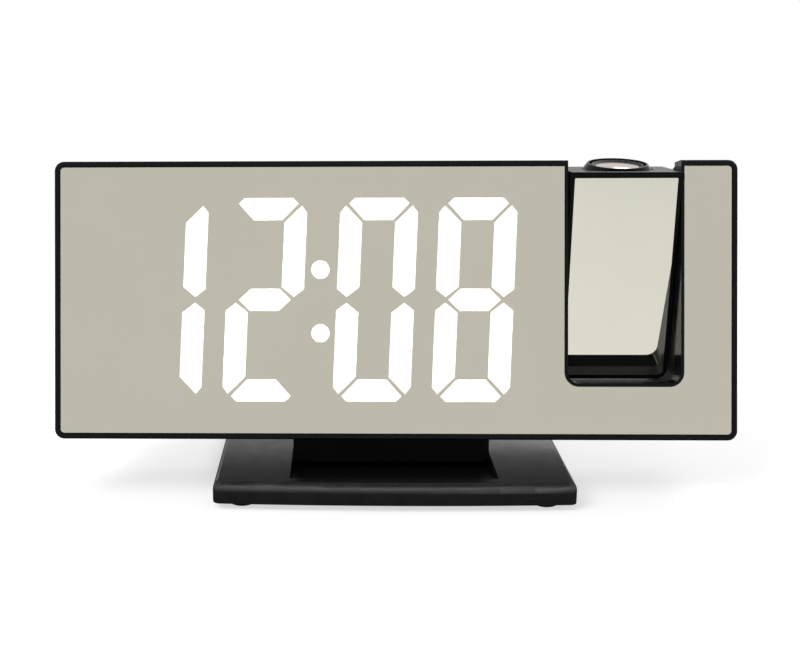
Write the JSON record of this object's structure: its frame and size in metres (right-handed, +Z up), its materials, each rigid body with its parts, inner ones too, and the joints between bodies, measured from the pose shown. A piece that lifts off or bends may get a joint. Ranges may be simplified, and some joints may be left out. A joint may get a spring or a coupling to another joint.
{
  "type": "projection alarm clock",
  "caption": "Wide mirror-faced digital alarm clock on a small tilting stand, with a swinging mirrored projector arm set in a notch at one end.",
  "frame": {"origin": "on the surface it stands on, under the middle of the whole clock and of its base", "axes": "+X to the viewer's right, +Y away from the viewer (the display faces -Y), +Z up"},
  "size_m": [0.185, 0.06, 0.0909],
  "materials": {
    "arm_mirror": "silvered acrylic",
    "black_gloss": "glossy injection-moulded black",
    "black_inner": "matt black",
    "black_satin": "fine satin black",
    "circuit_board": "solder mask",
    "clear_lens": "polished",
    "grey_plastic": "plain",
    "half_mirror": "half-silvered acrylic, warm grey",
    "led_white": "phosphor white",
    "rubber_black": "matt",
    "segment_dark": "milky diffuser, unlit",
    "segment_white": "milky diffuser, lit",
    "steel": "plain",
    "zinc_steel": "bright"
  },
  "bodies": {
    "stand": {"base_shell": "black_satin", "base_bottom_plate": "black_satin", "base_ballast_weight": "steel", "base_feet": "rubber_black", "base_screws": "steel", "tilt_hinge_pin": "steel", "tilt_friction_washers": "grey_plastic"},
    "head": {"alarm_buzzer": "black_inner", "arm_friction_washers": "grey_plastic", "backup_coin_cell": "zinc_steel", "battery_clip": "steel", "button_switches": "black_inner", "case_screws": "steel", "colon_dots": "segment_white", "display_board": "circuit_board", "display_board_screws": "steel", "display_leds": "led_white", "front_frame": "black_gloss", "hour_tens_lit_segments": "segment_white", "hour_tens_unlit_segments": "segment_dark", "hour_units_lit_segments": "segment_white", "hour_units_unlit_segments": "segment_dark", "main_board": "circuit_board", "main_board_screws": "steel", "minute_tens_lit_segments": "segment_white", "minute_tens_unlit_segments": "segment_dark", "minute_units_lit_segments": "segment_white", "mirror_panel": "half_mirror", "neck": "black_satin", "neck_screws": "steel", "power_socket": "zinc_steel", "rear_cover": "black_satin", "segment_light_box": "black_inner"},
    "projector_arm": {"arm_front_shell": "black_satin", "arm_rear_shell": "black_satin", "arm_mirror": "arm_mirror", "arm_shell_screws": "steel", "arm_pivot_left": "grey_plastic", "arm_pivot_right": "grey_plastic", "arm_retaining_clips": "steel", "optics_tube": "black_inner", "condenser_lens": "clear_lens", "time_display_slide": "clear_lens", "projector_led": "led_white", "projector_led_board": "circuit_board"},
    "focus_ring": {"focus_ring": "black_gloss"},
    "focus_lens": {"focus_lens_cell": "black_inner", "focus_lens": "clear_lens"},
    "battery_cover": {"battery_cover": "black_satin"},
    "down_button": {"down_button": "black_satin"},
    "mode_button": {"mode_button": "black_satin"},
    "set_button": {"set_button": "black_satin"},
    "snooze_button": {"snooze_button": "black_satin"},
    "up_button": {"up_button": "black_satin"}
  },
  "joints": [
    {"name": "head_tilt", "type": "hinge", "parent": "stand", "child": "head", "pos_m": [0, -0.0051, 0.0061], "axis": [-1, 0, 0], "range_deg": [-13, 7]},
    {"name": "projector_swing", "type": "hinge", "parent": "head", "child": "projector_arm", "pos_m": [0.0622, 0.00354, 0.07813], "axis": [1, 0, 0], "range_deg": [-107, 73]},
    {"name": "focus_turn", "type": "hinge", "parent": "projector_arm", "child": "focus_ring", "pos_m": [0.0622, 0.00349, 0.08615], "axis": [0, -0.068, 0.9977], "range_deg": [-120, 120]},
    {"name": "lens_travel", "type": "slide", "parent": "projector_arm", "child": "focus_lens", "axis": [0, -0.068, 0.9977], "range_m": [-0.001, 0.001]},
    {"name": "battery_cover_lift", "type": "slide", "parent": "head", "child": "battery_cover", "axis": [0, 0.974, -0.2267], "range_m": [0, 0.03]},
    {"name": "down_button_press", "type": "slide", "parent": "head", "child": "down_button", "axis": [0, -0.974, 0.2267], "range_m": [0, 0.0007], "stiffness_N_per_m": 500, "springref_m": -0.0006},
    {"name": "mode_button_press", "type": "slide", "parent": "head", "child": "mode_button", "axis": [0, -0.974, 0.2267], "range_m": [0, 0.0007], "stiffness_N_per_m": 500, "springref_m": -0.0006},
    {"name": "set_button_press", "type": "slide", "parent": "head", "child": "set_button", "axis": [0, -0.974, 0.2267], "range_m": [0, 0.0007], "stiffness_N_per_m": 500, "springref_m": -0.0006},
    {"name": "snooze_button_press", "type": "slide", "parent": "head", "child": "snooze_button", "axis": [0, -0.974, 0.2267], "range_m": [0, 0.0007], "stiffness_N_per_m": 500, "springref_m": -0.0006},
    {"name": "up_button_press", "type": "slide", "parent": "head", "child": "up_button", "axis": [0, -0.974, 0.2267], "range_m": [0, 0.0007], "stiffness_N_per_m": 500, "springref_m": -0.0006}
  ],
  "couplings": [
    {"joint": "focus_turn", "follows": "lens_travel", "rad_per_m": 2092.3}
  ]
}
